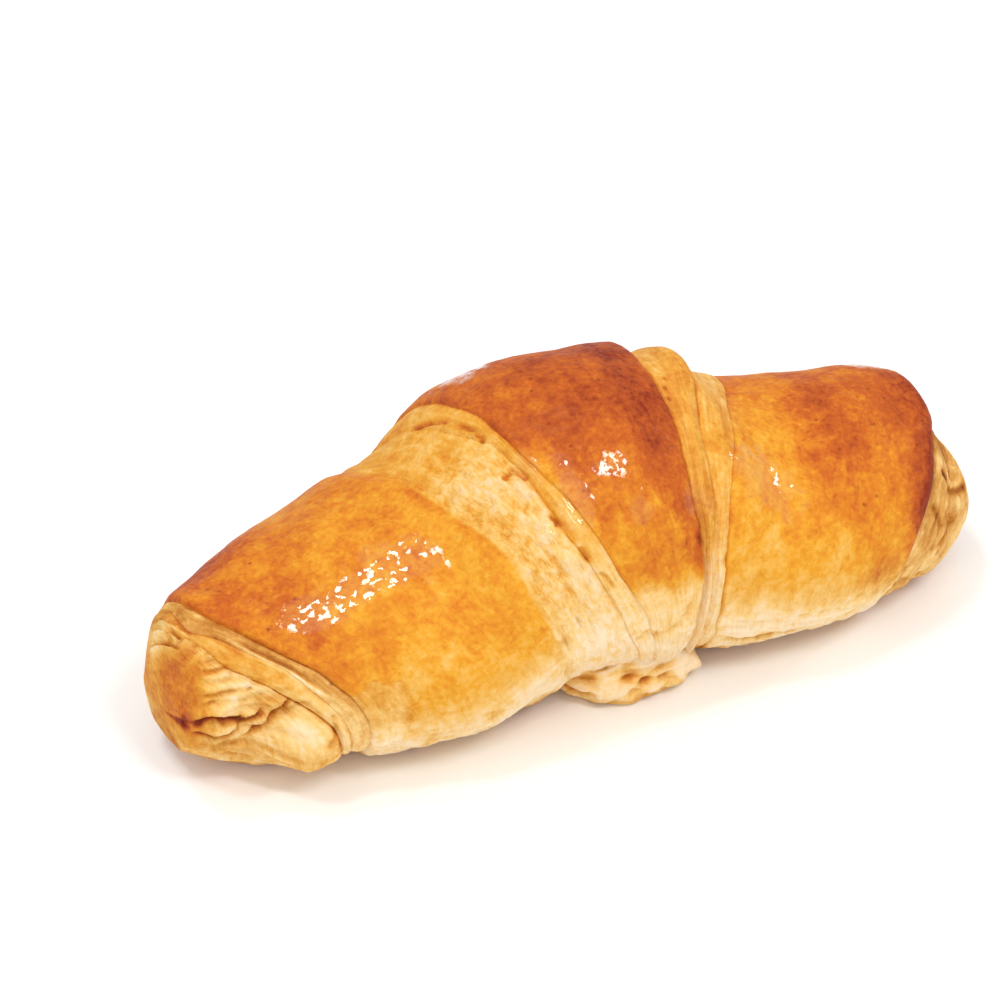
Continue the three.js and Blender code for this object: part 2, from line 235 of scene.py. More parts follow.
def spots(along, turn, places):
    """The sum of smooth round spots (along, turn, reach along, reach round, height)."""
    total = np.zeros_like(along)
    for at, at_turn, reach, reach_turn, height in places:
        far = ((along - at) / reach) ** 2 + ((turn - at_turn) / reach_turn) ** 2
        total += height * np.clip(1 - far, 0, 1) ** 2
    return total


def pleats(along, turn):
    p = PLEATS
    within = (smoothstep(p["from"], p["from"] + p["fade"], turn)
              * (1 - smoothstep(p["to"] - p["fade"], p["to"], turn))
              * smoothstep(p["left"], p["left"] + p["left_fade"], along)
              * (1 - smoothstep(p["right"] - p["right_fade"], p["right"], along)))
    across = (turn + p["slant"] * (along + 70) + p["waver"] * np.sin(along / 3)) / p["spacing"]
    return -p["depth"] * within * np.cos(np.pi * across) ** 4


def settled(z):
    """A height rolled off into the flat underside."""
    return np.where(z >= SETTLE, z, np.where(z <= -SETTLE, 0, (z + SETTLE) ** 2 / (4 * SETTLE)))


def lift(along):
    """How far a tip stands off the tray."""
    rise = [r * smoothstep(starts, LENGTH / 2 + 6, np.abs(along)) for starts, r in (LEFT_LIFT, RIGHT_LIFT)]
    return np.where(along < 0, rise[0], rise[1])


def spine_point(along, back, z):
    a = along / SPINE_RADIUS
    x = (SPINE_RADIUS + back) * np.sin(a) - CENTRE[0]
    y = (SPINE_RADIUS + back) * np.cos(a) - SPINE_RADIUS - CENTRE[1]
    return np.stack([x, y, z], axis=-1)


def roll_point(along, turn, out):
    half_height, half_width = through(SECTIONS, along)
    back = -(half_width + out) * np.sin(np.radians(turn))
    z = half_height * (1 - SINK) + (half_height + out) * np.cos(np.radians(turn))
    return spine_point(along, back, settled(z) + lift(along))


# ---- Rows of points over the roll

# Over a lip: how far a row lies into the high side in lip widths, and its share of the drop to the groove.
LIP_PROFILE = [(1, 0), (0.45, 0.12), (0.2, 0.32), (0.06, 0.6)]
# At the foot of a lip: how far a row lies into the low side in millimetres, and its share of the groove.
FOOT_PROFILE = [(FOOT, 0), (0.6, 0.15), (0.25, 0.5), (0.02, 0.85)]
# Over the soft edge: how far a row lies into the high side in millimetres, and its share of the drop.
SOFT_PROFILE = [(3.2, 0), (2.6, 0.08), (2, 0.2), (1.4, 0.36), (0.8, 0.55), (0.2, 0.74), (-0.4, 0.88),
                (-1.1, 1)]


def edge_rows(k):
    """The rows over edge k from left to right: (zone, share, zone it lies in, distance past the edge, level,
    how far the groove takes it down)."""
    over, crease, lip, _ = EDGES[k]
    left_level, right_level = ZONES[k][1], ZONES[k + 1][0]
    high, low, inwards = (right_level, left_level, 1) if over == "right" else (left_level, right_level, -1)
    if k == SOFT_EDGE:
        shape = [(far, high - share * (high - low), 0) for far, share in reversed(SOFT_PROFILE)]
    else:
        shape = [(-far, low, share * crease) for far, share in FOOT_PROFILE]
        shape.append((UNDERCUT, low, crease))
        shape += [(far * lip, high - share * (high - low), share * crease)
                  for far, share in reversed(LIP_PROFILE)]
    rows = [(k, 1.0, k + (inwards * far > 0), inwards * far, level, drop) for far, level, drop in shape]
    return rows if over == "right" else rows[::-1]


def zone_rows(k, width, margins):
    """The rows of a zone between the rows of its two edges, which take up the margins."""
    left, right, bulge = ZONES[k]
    count = max(2, round((width - sum(margins)) / ROW_SPACING[k]))
    shares = (np.arange(count) + 1) / (count + 1)
    return [(k, t, k, 0.0, left + (right - left) * t + 4 * bulge * t * (1 - t), 0) for t in shares]


def roll_fields():
    """Every point of the roll, as arrays with one line for each row: zone, place, level, distances from the
    zone's edges, grain, how much painted shade it gets at the foot of a lip, and its place on the plain roll."""
    turns = np.concatenate([np.linspace(a, b, n, endpoint=False) for a, b, n in STEPS])
    edges = edge_positions(turns)
    bounds = np.vstack([np.full_like(turns, -LENGTH / 2), edges, np.full_like(turns, LENGTH / 2)])
    widths = np.quantile(np.diff(bounds, axis=0), WIDTH_RANK, axis=1)
    kept = np.array([through(stations, winding_turn(turns))[0] for stations in GROOVE_KEPT])
    margins = np.zeros((len(ZONES), 2))  # how far the rows of its left and right edge reach into each zone
    for k in range(len(EDGES)):
        past = [row[3] for row in edge_rows(k)]
        margins[k, 1], margins[k + 1, 0] = -min(past), max(past)
    rows = []
    for k in range(len(ZONES)):
        rows += zone_rows(k, widths[k], margins[k])
        if k < len(EDGES):
            rows += edge_rows(k)
    zone, share, into, past, level, drop = (np.array(v)[:, None] for v in zip(*rows))
    edge = np.minimum(zone[:, 0], len(EDGES) - 1)
    room = NARROW * np.diff(bounds, axis=0)
    left = bounds[:-1] + np.minimum(margins[:, :1], room)
    right = bounds[1:] - np.minimum(margins[:, 1:], room)
    on_edge = bounds[1:][zone[:, 0]] + np.clip(past, -room[into[:, 0]], room[into[:, 0]])
    along = np.where(share == 1, on_edge, left[zone[:, 0]] + (right - left)[zone[:, 0]] * share)
    turn = np.broadcast_to(turns, along.shape)
    inner = into[:, 0]
    from_left, from_right = along - bounds[inner], bounds[inner + 1] - along
    across = widths / np.where(np.isin(np.arange(len(ZONES)), SKIN), GRAIN_SKIN, GRAIN_BARE)
    starts = np.cumsum(across) - across
    grain = starts[inner][:, None] + across[inner][:, None] * from_left / (from_left + from_right)
    over = np.array([edge[0] for edge in EDGES])[:, None]
    # The painted crease shade: a darker line on the low side at the foot of each lip, where the lip's shadow
    # falls.
    level_side = 0 * kept[:1]
    left_foot_shade = np.vstack([level_side, np.where(over == "left", kept, 0)])[inner]
    right_foot_shade = np.vstack([np.where(over == "right", kept, 0), level_side])[inner]
    crease = np.maximum(left_foot_shade * np.exp(-(from_left / CREASE_SHADE_REACH) ** 2),
                        right_foot_shade * np.exp(-(from_right / CREASE_SHADE_REACH) ** 2))
    return {"zone": np.broadcast_to(into, along.shape), "along": along, "turn": turn,
            "level": level - drop * kept[edge], "from_left": from_left, "from_right": from_right,
            "grain": grain, "crease": crease, "base": roll_point(along, turn, 0)}


# ---- Fine relief

# Single grooves and ridges: width, height (a groove's is negative), how much darker it is painted (in a
# groove this is painted shade; negative where a crest is paler), and its line of stations (along, turn).
FOLDS = [
    # the closed left end and the pocket
    (1, -2.4, 0.8, [(-79.8, 66), (-79.4, 73), (-79, 80)]),
    (0.6, -0.9, 0.15, [(-64.8, 79), (-63.3, 74.5), (-61.9, 71.5), (-60.6, 70)]),
    (0.5, -0.5, 0.25, [(-57.6, 78), (-57.3, 84), (-57.6, 92), (-60.2, 97)]),
    (0.45, -0.5, 0.3, [(-75.4, 84), (-73.4, 84), (-71.4, 80)]),
    # long cream flakes on the left tip
    (0.6, 0.9, -0.12, [(-77.6, 57), (-74.4, 61), (-70.8, 61), (-67.2, 56)]),
    (0.5, 0.7, -0.12, [(-76.6, 50), (-73.5, 53), (-70.8, 51)]),
    (0.6, 0.8, -0.12, [(-73, 71), (-68.7, 64), (-65.4, 60), (-63.2, 59)]),
    (0.5, 0.7, -0.1, [(-75.8, 66), (-72.2, 67), (-69.2, 61)]),
    (0.5, 0.6, -0.1, [(-76.2, 72), (-73.4, 74), (-70.4, 72), (-67.4, 68)]),
    (0.4, -0.5, 0.2, [(-77, 61), (-73.8, 64.5), (-70.4, 64.5), (-67.6, 60)]),
    (0.35, -0.5, 0.2, [(-75.6, 47), (-73, 49.5), (-70.4, 48)]),
    (0.6, 1.3, -0.22, [(-79.5, -26), (-79.1, -14), (-78.4, 4), (-77.3, 25)]),
    (0.35, -0.7, 0.25, [(-79.1, -26), (-78.6, -12), (-77.9, 4), (-76.9, 24)]),
    (0.55, 1.3, -0.22, [(-78.7, -26), (-78.1, -12), (-77.4, 3), (-76.5, 19)]),
    (0.35, -0.7, 0.25, [(-78.2, -24), (-77.6, -8), (-76.9, 5), (-75.9, 20)]),
    (0.5, 1.1, -0.2, [(-77.7, -24), (-77, -4), (-76.3, 7), (-75.3, 20)]),
    # the cream lip of the strip beside the left hem
    (0.5, 0.45, -0.3, [(-70.2, 26), (-66.7, 39), (-64.8, 45), (-62.8, 51), (-61.1, 57), (-59, 64),
        (-57.2, 70)]),
    (0.4, -0.4, 0.25, [(-69.3, 26), (-65.7, 39), (-63.8, 45), (-61.8, 51), (-60.1, 57), (-58.1, 64),
        (-56.4, 70)]),
    # cracks and small holes in the torn band
    (0.35, -0.5, 0.05, [(-20.3, 30), (-19.4, 42), (-17.9, 50), (-15.9, 57), (-14.3, 70), (-13, 82),
        (-10.6, 96)]),
    (0.35, -0.4, 0.05, [(-17.4, 47), (-15.1, 59), (-14.1, 68), (-11.7, 80), (-9.9, 89), (-7.9, 101)]),
    (0.35, -0.4, 0.05, [(-20.4, 56), (-18.9, 67), (-17.1, 76), (-15.7, 87), (-13.4, 103)]),
    (0.55, -1.1, 0.42, [(-19, 22.4), (-18.2, 23.6), (-17.3, 23.2), (-16.7, 21.4)]),
    (0.4, -0.7, 0.3, [(-16.6, 24), (-15.9, 26), (-15.4, 29)]),
    (1.1, 0.8, -0.2, [(-17.9, 27.5), (-16.9, 30), (-16.4, 35)]),
    (0.9, 0.5, -0.15, [(-20.8, 39), (-19.9, 43), (-19.2, 48)]),
    (0.9, 0.5, -0.15, [(-16.4, 43), (-15.3, 47), (-14.4, 52)]),
    (0.3, -0.7, 0.45, [(-24.4, -30), (-23, -24), (-21.8, -18), (-20.9, -12)]),
    (0.3, -0.6, 0.35, [(-20.2, -8), (-19.4, -3), (-18.9, 3), (-18.6, 8)]),
    (0.45, -0.9, 0.42, [(-14.6, 43.5), (-13.9, 44.6), (-13.4, 46.8), (-13.9, 48.4)]),
    (0.35, -0.7, 0.2, [(-12.9, 47), (-11.9, 51), (-11.2, 56)]),
    (0.4, -0.6, 0.3, [(-10.9, 57), (-10.1, 60), (-9.6, 64)]),
    (0.35, -0.5, 0.3, [(-7.9, 68), (-6.6, 72), (-5.5, 76)]),
    # the crease in the crown above the tongue
    (0.8, -0.6, 0.14, [(-1.6, 106), (2.3, 102), (5.2, 104), (8.2, 100), (10.8, 91), (12.6, 83)]),
    # under the right shoulder
    (0.9, -1.3, 0.55, [(19, 122), (24.3, 121), (29, 118), (33.8, 121), (38, 123)]),
    # the loose end at the right tip
    (0.7, -1, 0.4, [(69.6, 62), (72.6, 60), (75, 56), (77.8, 50)]),
    (0.6, -0.8, 0.6, [(68, 52.5), (69.3, 54.5), (70.6, 57)]),
    (0.6, -0.8, 0.35, [(65.8, 98), (68.6, 93), (71.2, 88)]),
    (1.2, 0.7, -0.1, [(66.8, 72), (69.6, 71), (72.4, 70), (74.6, 68)]),
    (1.7, -1.7, 0.08, [(72.2, 100), (71.6, 93), (70.8, 86), (70, 79), (69.4, 72)]),
    (0.55, -0.5, 0.25, [(64.1, 66), (65.3, 73), (66.2, 84), (65.2, 94), (64, 103)]),
    (0.5, -0.5, 0.25, [(71.4, 22), (72.6, 32), (73.4, 42), (72.8, 50)]),
]
# Sheets that lap over each other at the closed left end. Each stands up on the left of its line, seen from
# outside: width, height, how much darker its foot is painted as the shadow under the sheet's edge, and its
# line.
SHEETS = [
    (1.6, 1.2, 0.75, [(-79.2, 72), (-77.8, 76), (-76.1, 77), (-74.2, 80), (-72.4, 80), (-70.6, 78)]),
    (1.5, 1.2, 0.65, [(-79.4, 82), (-77.4, 90), (-76.1, 93), (-73.5, 90), (-71.6, 83), (-69.1, 79),
        (-67, 73)]),
    (2.2, 1.1, 0.5, [(-77.3, 108), (-75.4, 99), (-72.7, 96), (-69, 88), (-66.9, 79), (-64.4, 71),
        (-62.9, 65)]),
]
ARC = 0.5  # millimetres round the roll to a degree, near enough for the grain of the dough
RISER = 0.16  # the share of a torn ledge that rises
FOLD_STEP = 0.08  # spacing of the points on a fold's line, as a share of the distance between stations
FOLD_REACH = 6.0  # no fold changes the dough further away than this
FOLD_END = 0.15  # the share of its line over which a fold fades in, and out again
FOLD_SHADE_WIDTH = 1.1  # how wide the painted shade of a fold, and the paling of a crest, reaches, in widths of the fold
# Where a sheet rises across its line, and the foot in front of it: how far out, how wide, its reach and its
# depth as a share of the height. And how much paler the sheet is.
SHEET = {"rise": (-0.1, 0.35), "foot": 0.35, "wide": 0.5, "reach": 3, "deep": 0.6, "pale": 0.12}


def unit(vectors):
    return vectors / np.maximum(np.linalg.norm(vectors, axis=-1, keepdims=True), 1e-9)


def line_frame(points, line):
    """Near a fold's line: which points are near, their distance from it, how much of the fold is there (it
    fades out at both ends), and their side (positive on the left)."""
    at = np.arange(0, len(line) - 1 + FOLD_STEP / 2, FOLD_STEP)
    along, turn = through([(i, *station) for i, station in enumerate(line)], at)
    path = roll_point(along, turn, 0.0)
    outward = unit(roll_point(along, turn, 1.0) - path)
    ahead = unit(np.gradient(path, axis=0))
    leftward = unit(np.cross(outward, ahead))
    low, high = path.min(axis=0) - FOLD_REACH, path.max(axis=0) + FOLD_REACH
    near = np.all((points > low) & (points < high), axis=-1)
    offset = points[near][:, None, :] - path[None, :, :]
    closest = np.linalg.norm(offset, axis=-1).argmin(axis=1)
    offset = offset[np.arange(len(closest)), closest]
    forward = np.sum(offset * ahead[closest], axis=-1)
    within = (closest > 0) & (closest < len(at) - 1)
    distance = np.linalg.norm(offset - (forward * within)[:, None] * ahead[closest], axis=-1)
    side = np.sum(offset * leftward[closest], axis=-1)
    place = closest / (len(at) - 1)
    ends = smoothstep(0, FOLD_END, place) * smoothstep(0, FOLD_END, 1 - place)
    return near, distance, ends, side


def fold_fields(roll):
    """What the single folds add to the height, and to the bake as painted shade in their grooves and under
    the sheets' edges, and as paler crests.
    """
    points = roll["base"]
    height = np.zeros(points.shape[:2])
    fold_shade_and_tone = np.zeros(points.shape[:2])
    for width, rise, darker, line in FOLDS:
        near, distance, ends, _ = line_frame(points, line)
        height[near] += rise * np.exp(-(distance / width) ** 2) * ends
        fold_shade_and_tone[near] += darker * np.exp(-(distance / (FOLD_SHADE_WIDTH * width)) ** 2) * ends
    for width, rise, darker, line in SHEETS:
        near, distance, ends, side = line_frame(points, line)
        proud = np.exp(-distance / width) * smoothstep(*SHEET["rise"], side)
        foot = np.exp(-((side + SHEET["foot"]) / SHEET["wide"]) ** 2) * (distance < SHEET["reach"])
        height[near] += (rise * proud - SHEET["deep"] * rise * foot) * ends
        # The foot in front of a sheet is darkened as its painted shadow; the raised sheet is paler.
        fold_shade_and_tone[near] += (darker * foot - SHEET["pale"] * proud) * ends
    return height, fold_shade_and_tone


def ledges(value):
    """Turns a slowly rising value into flat treads with short risers."""
    whole = np.floor(value)
    return whole + smoothstep(1 - RISER, 1, value - whole)


def ridged(x, y, z, seed):
    """Noise with sharp crests, from -1 in the valleys to 1 on the crests."""
    return 1 - 2 * np.abs(noise(x, y, z, seed))


def fine_relief(roll):
    """Torn flakes, fine folds and wrinkles: their height, how pale each is (paler on crests and darker in
    hollows, partly the dough's own colour and partly painted shade), and how torn the dough is there. A
    number under a distance is the size of a feature in millimetres."""
    along, turn, zone, base = roll["along"], roll["turn"], roll["zone"], roll["base"]
    girth = ARC * turn
    side = np.abs(signed_turn(turn))
    height = np.zeros_like(along)
    pale = np.zeros_like(along)

    # paler: how much paler a crest is and how much darker a hollow, partly the dough's own colour and partly
    # painted shade.
    def add(where, relief, paler=0.0):
        nonlocal height, pale
        height = height + np.where(where, relief, 0)
        pale = pale + np.where(where, paler, 0)

    # Glazed skin: shallow dimples. Lower down the skin is dry and wrinkled.
    skin = np.isin(zone, SKIN)
    add(skin, 0.13 * lumpy(base, 3.6, 11) + 0.05 * lumpy(base, 1.7, 12))
    low = smoothstep(82, 104, side)
    wrinkle = ridged(along / 3.4, girth / 2.2, 0, 13)
    crinkle = ridged(along / 1.8 + 0.5 * girth / 2, girth / 1.1, 0, 15)
    add(skin, low * (0.26 * wrinkle + 0.16 * crinkle + 0.16 * lumpy(base, 2, 14)),
        low * (0.07 * wrinkle + 0.05 * crinkle))
    scaly = np.where(skin, 0.3 * low, 0)

    # The torn band: small scales that lie along it, cream on their crests and golden between them, partly
    # painted shade; along its border with the shoulder a painted shadow darkens it.
    bent = (roll["from_right"] + 0.9 * noise(girth / 8, along / 30, 0, 21)
            + 0.4 * noise(girth / 3, along / 8, 0, 22))
    tread = ledges(bent / 2.6 + 0.35 * noise(girth / 5, along / 3, 0, 23)) - bent / 2.6
    scale = 0.6 * ridged(bent / 1.5, girth / 3.2, 0, 24) + 0.4 * ridged(bent / 1.0, girth / 1.8, 0, 25)
    lump = noise(bent / 2.2, girth / 3.0, 0, 28)
    pit = smoothstep(0.5, 0.75, noise(bent / 1.2, girth / 1.7, 0, 26))
    inside = smoothstep(0, 1.4, roll["from_left"]) * smoothstep(0, 0.8, roll["from_right"])
    torn = smoothstep(-12, 16, turn) * (1 - 0.6 * smoothstep(58, 88, turn)) * inside
    streak = ridged(bent / 1.7, girth / 11, 0, 27)
    flakes = 0.4 * tread + 0.5 * scale + 0.35 * lump - 0.35 * pit
    add(zone == LEFT_BAND, (0.12 + 0.88 * torn) * flakes + 0.14 * streak,
        torn * (0.15 * scale + 0.1 * lump - 0.05 * pit) + 0.09 * (1 - torn) * streak
        - 0.1 * np.exp(-(roll["from_left"] / 3) ** 2))
    scaly = np.where(zone == LEFT_BAND, 0.15 + 0.85 * torn, scaly)

    # The hems and the bands on the right: fine lines along them, stronger on some.
    lined = np.isin(zone, (CROWN_HEM, INNER_BAND, OUTER_BAND, LEFT_HEM, TIP_STRIP, RIGHT_HEM))
    rough_zones = (LEFT_HEM, OUTER_BAND, RIGHT_HEM, TIP_STRIP, CROWN_HEM)
    strength = np.select([zone == k for k in rough_zones], [0.7, 0.6, 0.9, 0.6, 0.25], 0.45)
    line = noise(roll["from_right"] / 0.9, girth / 8, zone * 9.1, 31)
    broad = noise(roll["from_right"] / 1.8, girth / 4.5, zone * 5.3, 32)
    add(lined, strength * (0.22 * line + 0.2 * broad), strength * (0.12 * line + 0.07 * broad))
    scaly = np.where(lined, 0.1 + 0.15 * smoothstep(70, 95, side), scaly)
    dent = smoothstep(0.3, 0.7, lumpy(base, 2.2, 33))
    add(np.isin(zone, (RIGHT_HEM, OUTER_BAND)), -0.35 * dent + 0.1 * lumpy(base, 1.4, 34), -0.1 * dent)

    # The tips: flakes that run to the left end, and soft knobs at the right end.
    fan = ridged(turn / 5.2, along / 6, 0, 41)
    thin = ridged(turn / 2.6, along / 3.2, 0, 42)
    end = smoothstep(0.5, 6, LENGTH / 2 - np.abs(along))
    flaky = end * (1 - 0.8 * np.minimum(spots(along, turn, [POCKET]), 1))
    add(zone == LEFT_TIP, flaky * (0.4 * fan + 0.2 * thin), flaky * (0.12 * fan + 0.06 * thin))
    knob = lumpy(base, 3.6, 43) + 0.5 * lumpy(base, 1.7, 44)
    hollow = smoothstep(0.45, 0.75, lumpy(base, 1.9, 45))
    add(zone == RIGHT_TIP, end * (0.5 * knob - 0.45 * hollow), end * (0.08 * knob - 0.12 * hollow))
    scaly = np.where(np.isin(zone, (LEFT_TIP, RIGHT_TIP)), 0.25 * flaky, scaly)
    return height, pale, scaly


def closed_faces(rings, around):
    """Quads between rings of points, and a fan of triangles to the pole at each end."""
    first = 1 + np.arange(rings - 1)[:, None] * around
    j = np.arange(around)[None, :]
    j2 = (j + 1) % around
    quads = np.stack([first + j, first + j2, first + around + j2, first + around + j], axis=-1).reshape(-1, 4)
    end = 1 + rings * around
    last = end - around
    fans = [(0, 1 + (k + 1) % around, 1 + k) for k in range(around)]
    fans += [(end, last + k, last + (k + 1) % around) for k in range(around)]
    return quads.tolist() + fans


# ---- How far each place is baked, with painted shade added in hollows, grooves and creases (0 pale, 1 dark), and how dry it is (0 glazed, 1 bare)

UNDERSIDE = [(130, 0.34), (145, 0.5), (180, 0.52)]  # (turn, bake): the part that lay on the tray

FAR_BAKE = (-180, 0.5)  # where the table of every zone starts

# For each zone its bake at turns round the roll: (turn, bake).
ZONE_BAKE = {
    LEFT_TIP: [(-110, 0.3), (-40, 0.34), (10, 0.38), (45, 0.36), (68, 0.34), (92, 0.34), (112, 0.34)],
    TIP_STRIP: [(-100, 0.3), (-60, 0.5), (-5, 0.54), (25, 0.36), (55, 0.36), (70, 0.26), (80, 0.2),
        (112, 0.12)],
    LEFT_HEM: [(-100, 0.36), (-40, 0.48), (20, 0.47), (60, 0.42), (85, 0.29), (112, 0.18)],
    LEFT_SHOULDER: [(-135, 0.34), (-108, 0.16), (-90, 0.4), (-60, 0.6), (-20, 0.58), (8, 0.54), (34, 0.5),
        (60, 0.46), (82, 0.37), (94, 0.22), (110, 0.1)],
    LEFT_BAND: [(-110, 0.14), (-60, 0.42), (-25, 0.42), (-4, 0.34), (10, 0.23), (45, 0.2), (70, 0.19),
        (86, 0.12), (112, 0.06)],
    CROWN_HEM: [(-110, 0.16), (-60, 0.46), (0, 0.38), (36, 0.38), (60, 0.3), (82, 0.17), (112, 0.06)],
    CROWN: [(-135, 0.34), (-108, 0.14), (-92, 0.18), (-82, 0.55), (-50, 0.72), (-15, 0.8), (10, 0.79),
        (36, 0.71), (52, 0.62), (64, 0.54), (76, 0.48), (81, 0.34), (86, 0.18), (112, 0.12)],
    INNER_BAND: [(-108, 0.16), (-60, 0.42), (0, 0.43), (30, 0.38), (52, 0.48), (70, 0.36), (84, 0.18),
        (112, 0.06)],
    OUTER_BAND: [(-108, 0.16), (-60, 0.36), (0, 0.35), (25, 0.44), (50, 0.39), (70, 0.3), (84, 0.18),
        (112, 0.1)],
    RIGHT_SHOULDER: [(-135, 0.34), (-108, 0.14), (-86, 0.44), (-40, 0.62), (0, 0.57), (24, 0.52), (48, 0.5),
        (70, 0.44), (84, 0.38), (96, 0.27), (108, 0.1)],
    RIGHT_HEM: [(-100, 0.34), (0, 0.54), (30, 0.58), (50, 0.36), (90, 0.44), (112, 0.3)],
    RIGHT_TIP: [(-100, 0.34), (0, 0.39), (40, 0.38), (70, 0.45), (92, 0.31), (112, 0.2)],
}
# And how dry it is: (turn, dryness).
ZONE_DRY = {
    LEFT_TIP: [(-130, 0.8), (0, 0.6), (60, 0.7), (112, 0.6)],
    TIP_STRIP: [(-130, 0.8), (-20, 0.7), (20, 0.4), (60, 0.35), (90, 0.85)],
    LEFT_HEM: [(-130, 0.9), (130, 0.9)],
    LEFT_SHOULDER: [(-112, 0.8), (-92, 0.2), (-80, 0), (80, 0), (94, 0.35), (112, 0.85)],
    LEFT_BAND: [(-112, 0.9), (-30, 0.2), (0, 0.2), (20, 0.28), (66, 0.36), (92, 0.85)],
    CROWN_HEM: [(-112, 0.8), (-80, 0.2), (20, 0.25), (50, 0.15), (75, 0.6), (95, 0.95)],
    CROWN: [(-112, 0.8), (-94, 0.6), (-82, 0.05), (76, 0), (84, 0.45), (100, 0.85)],
    INNER_BAND: [(-112, 0.8), (-60, 0.4), (30, 0.35), (70, 0.4), (90, 0.9)],
    OUTER_BAND: [(-112, 0.9), (0, 0.5), (30, 0.25), (60, 0.4), (90, 0.95)],
    RIGHT_SHOULDER: [(-112, 0.8), (-90, 0.2), (-80, 0), (78, 0), (92, 0.35), (108, 0.9)],
    RIGHT_HEM: [(-130, 0.95), (130, 0.95)],
    RIGHT_TIP: [(-130, 0.9), (130, 0.9)],
}

# Places baked more or less than their zone: (along, turn, reach, reach round the roll, amount).
BAKE_SPOTS = {
    LEFT_SHOULDER: [(-70, -44, 14, 40, 0.22), (-66, 8, 9, 30, 0.1), (-57, 20, 8, 28, 0.1),
        (-58, 50, 11, 26, 0.16), (-58, -40, 9, 26, 0.1), (-46, 46, 9, 20, 0.08), (-34, -6, 12, 34, -0.12),
        (-33, 26, 11, 22, -0.07), (-38, 58, 16, 26, -0.05), (-21, 108, 9, 22, -0.14),
        # (-29.5, 0, 3, 26, 0.12) is a painted soft shadow along the shoulder's border with the torn band.
        (-29.5, 0, 3, 26, 0.12), (-69, -8, 3, 12, -0.08), (-62, 8, 2.4, 7, 0.14), (-61, 17, 2.4, 5, 0.12),
        (-62, 29, 1.5, 4, 0.1), (-57.3, 42, 1.8, 4, 0.1), (-25.5, 30, 2, 22, 0.08),
        (-41, 116, 2.2, 14, 0.25)],
    CROWN: [(-14, -10, 9, 40, -0.12), (-15, 34, 9, 26, -0.3), (-10, 55, 5, 14, -0.32), (9, 10, 7, 60, 0.14),
        (11, 60, 4, 22, 0.12), (-2.4, 62, 5, 12, -0.13), (4, -24, 16, 20, 0.04), (4.6, 52, 1.8, 7, -0.12),
        (8, 62, 1.6, 6, -0.1), (12.6, 66, 1.6, 6, 0.35), (12, 76, 2, 8, 0.2)],
    RIGHT_SHOULDER: [(68, 8, 16, 60, 0.34), (68, 58, 13, 46, 0.42), (50, 20, 14, 70, 0.2),
        (30, 26, 10, 40, -0.06), (25, 68, 12, 22, -0.16), (38, 40, 7, 26, 0.05), (52, 96, 11, 24, 0.2),
        (64, 78, 12, 34, 0.4), (26, 100, 10, 20, -0.06)],
    LEFT_TIP: [(-63, 88, 8, 20, -0.2), (-76, 108, 9, 14, 0.12), (-70, 58, 7, 16, -0.05),
        (-58, 70, 8, 14, -0.12)],
    INNER_BAND: [(15.6, 8, 0.7, 2, 0.35), (15.2, 13, 0.6, 1.6, 0.35), (16.4, 3, 0.6, 1.6, 0.3)],
    CROWN_HEM: [(-10, 50, 6, 14, -0.08)],
}
# Browned knobs of the left tip: along, turn, radius, how much browner and how much less dry.
KNOBS = [(-78.8, 42, 8.5, 0.28, -0.6), (-80, 76, 5, 0.08, -0.4), (-80, -60, 7, 0.26, -0.5)]
POCKET = (-62, 88, 8, 26, 1.6)  # the smooth pocket: along, turn, reach, reach round the roll, strength
PALE_LINE = 3.5  # degrees by which the border between the glazed and the pale dough wavers

# A patch low on the left shoulder that the wash missed: along, turn, reaches and strength of the spot whose
# rim it follows, how that rim wavers, where the patch fades out to the right, and its looks.
BARE_PATCH = (-49.5, 86, 8, 29, 1.0)
PATCH_RIM = {"level": 0.16, "soft": 0.03, "waver": 0.14, "fade": (-47, -42.5), "bake_and_shade": -0.04, "dry": 0.5,
             "browned": 0.5}
CREASE_SHADE = 0.24  # how much darker the painted shade along the foot of an edge makes the bake
# Broad and fine patches that are baked more or less: amount, size and seed.
MOTTLE = [(0.07, 7, 53), (0.05, 3, 54)]
# The dried egg wash: its weight where it is thin, how unevenly it dried near the thick places, the size of
# its islands, and the strengths between which they begin.
WASH = {"thin": 0.02, "waver": 0.45, "size": 1.6, "near": (0.05, 0.2), "edge": (0.3, 0.45)}
# Where it dried thick and glints: along, turn, reach, reach round the roll, strength.
WASH_THICK = [
    (-57, 28, 5, 14, 1), (-52, 27, 6, 13, 1), (-47, 25, 5, 10, 0.8), (-41, 19, 6, 16, 1),
    (-35, 24, 7, 14, 0.9), (-1.5, 37, 5, 8, 0.75), (-9.8, 29, 2.5, 9, 1), (1.5, 52, 3.5, 8, 1),
    (-10, 44, 4.5, 14, 1.3), (-15, 28, 4, 12, 0.9), (-15.5, 46, 3, 9, 0.9), (30, 40, 11, 22, 0.9),
    (13, 54, 4, 14, 0.8), (4, -42, 16, 14, 0.8), (-14, -36, 8, 12, 0.7), (44, -46, 16, 12, 0.7),
    (64, -30, 8, 14, 0.7),
]


def by_zone(zone, turn, tables, first=()):
    """A value from each zone's table of (turn, value), after the stations that every table starts with."""
    total = np.zeros_like(turn)
    for k, stations in tables.items():
        total = np.where(zone == k, through([*first, *stations], turn)[0], total)
    return total


def bare_patch(along, turn):
    """1 where the wash is missing low on the left shoulder."""
    rim = PATCH_RIM
    inside = spots(along, turn, [BARE_PATCH]) + rim["waver"] * noise(along / 2.4, turn / 5, 0, 55)
    return (smoothstep(rim["level"] - rim["soft"], rim["level"] + rim["soft"], inside)
            * (1 - smoothstep(*rim["fade"], along)))


